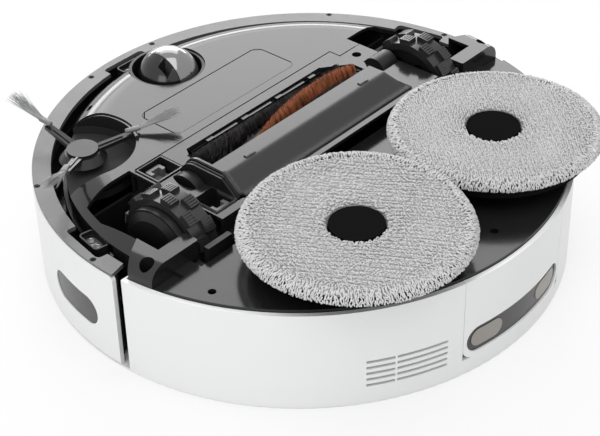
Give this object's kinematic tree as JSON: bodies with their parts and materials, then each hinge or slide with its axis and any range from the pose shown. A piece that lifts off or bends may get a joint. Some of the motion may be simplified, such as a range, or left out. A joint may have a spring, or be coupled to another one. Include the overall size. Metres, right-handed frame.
{
  "type": "robot vacuum cleaner",
  "caption": "Round robot vacuum with spinning mop pads, shown lying on its top cover: sprung bumper, drive wheels, caster, roller brush and side brush.",
  "frame": {"origin": "centre of the top cover's outer face, which is the face the robot lies on here", "axes": "+Z out of the underside, so the robot lies upside down on its flat top cover; -Y is the robot's front (bumper side); +X is the side with the side brush"},
  "size_m": [0.35, 0.35, 0.098],
  "materials": {
    "white_shell": "glossy moulded",
    "button_grey": "satin",
    "dark_frame": "fine textured",
    "gloss_base": "polished",
    "lip_grey": "satin",
    "guard_grey": "satin",
    "dark_window": "polished, infrared-clear",
    "contact_metal": "brushed",
    "screw_black": "blackened",
    "roller_grey": "polished",
    "lens": "polished",
    "battery_wrap": "shrink wrap",
    "board": "lacquered",
    "bin_clear": "smoked clear",
    "filter_paper": "pleated paper",
    "tank_clear": "smoked clear",
    "light_plastic": "moulded",
    "tyre_rubber": "moulded rubber",
    "bristle_pale": "nylon bristle",
    "bristle_black": "nylon bristle",
    "bristle_orange": "nylon bristle",
    "mop_pile": "twisted loop pile"
  },
  "bodies": {
    "chassis": {"top_cover": "white_shell", "side_wall": "white_shell", "inner_frame": "dark_frame", "base_plate": "gloss_base", "wheel_cover_left": "gloss_base", "wheel_cover_right": "gloss_base", "wheel_well_left": "dark_frame", "wheel_well_right": "dark_frame", "contact_panel": "white_shell", "contact_window": "dark_window", "charge_contacts": "contact_metal", "cliff_sensors": "dark_frame", "cliff_lenses": "lens", "battery_cover": "gloss_base", "battery_pack": "battery_wrap", "main_board": "board", "dust_bin": "bin_clear", "bin_filter": "filter_paper", "fan_housing": "dark_frame", "exhaust_duct": "dark_frame", "water_tank": "tank_clear", "mop_gearboxes": "dark_frame", "side_brush_motor": "dark_frame", "brush_gearbox": "dark_frame", "speaker": "dark_frame", "base_screws": "screw_black", "brush_housing": "dark_frame", "brush_guard": "guard_grey", "latch_frames": "guard_grey", "caster_socket": "dark_frame"},
    "front_latch": {"front_latch": "dark_frame"},
    "rear_latch": {"rear_latch": "dark_frame"},
    "bumper": {"bumper_shell": "white_shell", "bumper_lip": "lip_grey", "bumper_frame": "dark_frame", "side_windows": "dark_window", "front_window": "dark_window", "bumper_screws": "screw_black"},
    "left_suspension": {"suspension_left": "dark_frame"},
    "right_suspension": {"suspension_right": "dark_frame"},
    "left_wheel": {"wheel_hub_left": "dark_frame", "tyre_left": "tyre_rubber"},
    "right_wheel": {"wheel_hub_right": "dark_frame", "tyre_right": "tyre_rubber"},
    "caster": {"caster_dome": "gloss_base", "caster_axle": "contact_metal"},
    "caster_roller": {"caster_wheel": "roller_grey"},
    "side_brush": {"side_brush_hub": "guard_grey", "side_brush_bristles": "bristle_pale"},
    "main_brush": {"brush_core": "dark_frame", "black_bristles": "bristle_black", "orange_bristles": "bristle_orange"},
    "fan": {"fan_impeller": "light_plastic"},
    "left_mop": {"mop_disc_left": "dark_frame", "mop_pad_left": "mop_pile"},
    "right_mop": {"mop_disc_right": "dark_frame", "mop_pad_right": "mop_pile"},
    "power_button": {"power_button": "button_grey"},
    "home_button": {"home_button": "button_grey"}
  },
  "joints": [
    {"name": "bumper_press", "type": "slide", "parent": "chassis", "child": "bumper", "axis": [0, 1, 0], "range_m": [0, 0.003], "stiffness_N_per_m": 500, "springref_m": -0.002},
    {"name": "left_suspension_swing", "type": "hinge", "parent": "chassis", "child": "left_suspension", "pos_m": [-0.1193, 0.043, 0.058], "axis": [1, 0, 0], "range_deg": [0, 26], "stiffness_Nm_per_rad": 0.4, "springref_deg": -40.11},
    {"name": "right_suspension_swing", "type": "hinge", "parent": "chassis", "child": "right_suspension", "pos_m": [0.1193, 0.043, 0.058], "axis": [1, 0, 0], "range_deg": [0, 26], "stiffness_Nm_per_rad": 0.4, "springref_deg": -40.11},
    {"name": "left_wheel_spin", "type": "hinge", "parent": "left_suspension", "child": "left_wheel", "pos_m": [-0.1193, 0, 0.064], "axis": [1, 0, 0], "continuous": true},
    {"name": "right_wheel_spin", "type": "hinge", "parent": "right_suspension", "child": "right_wheel", "pos_m": [0.1193, 0, 0.064], "axis": [1, 0, 0], "continuous": true},
    {"name": "caster_swivel", "type": "hinge", "parent": "chassis", "child": "caster", "pos_m": [0, -0.123, 0.07], "axis": [0, 0, 1], "continuous": true},
    {"name": "caster_roll", "type": "hinge", "parent": "caster", "child": "caster_roller", "pos_m": [0, -0.1216, 0.0763], "axis": [1, 0, 0], "continuous": true},
    {"name": "side_brush_spin", "type": "hinge", "parent": "chassis", "child": "side_brush", "pos_m": [0.103, -0.097, 0.08], "axis": [0, 0, 1], "continuous": true},
    {"name": "main_brush_spin", "type": "hinge", "parent": "chassis", "child": "main_brush", "pos_m": [0, -0.0185, 0.0715], "axis": [1, 0, 0], "continuous": true},
    {"name": "fan_spin", "type": "hinge", "parent": "chassis", "child": "fan", "pos_m": [0.07, 0.062, 0.03], "axis": [0, 0, 1], "continuous": true},
    {"name": "left_mop_spin", "type": "hinge", "parent": "chassis", "child": "left_mop", "pos_m": [-0.0654, 0.103, 0.09], "axis": [0, 0, 1], "continuous": true},
    {"name": "right_mop_spin", "type": "hinge", "parent": "chassis", "child": "right_mop", "pos_m": [0.0696, 0.103, 0.09], "axis": [0, 0, 1], "continuous": true},
    {"name": "front_latch_slide", "type": "slide", "parent": "chassis", "child": "front_latch", "axis": [0, 1, 0], "range_m": [0, 0.003], "stiffness_N_per_m": 300},
    {"name": "rear_latch_slide", "type": "slide", "parent": "chassis", "child": "rear_latch", "axis": [0, -1, 0], "range_m": [0, 0.003], "stiffness_N_per_m": 300},
    {"name": "power_button_press", "type": "slide", "parent": "chassis", "child": "power_button", "axis": [0, 0, 1], "range_m": [0, 0.001], "stiffness_N_per_m": 800},
    {"name": "home_button_press", "type": "slide", "parent": "chassis", "child": "home_button", "axis": [0, 0, 1], "range_m": [0, 0.001], "stiffness_N_per_m": 800}
  ],
  "couplings": [
    {"joint": "right_mop_spin", "follows": "left_mop_spin", "ratio": -1}
  ]
}
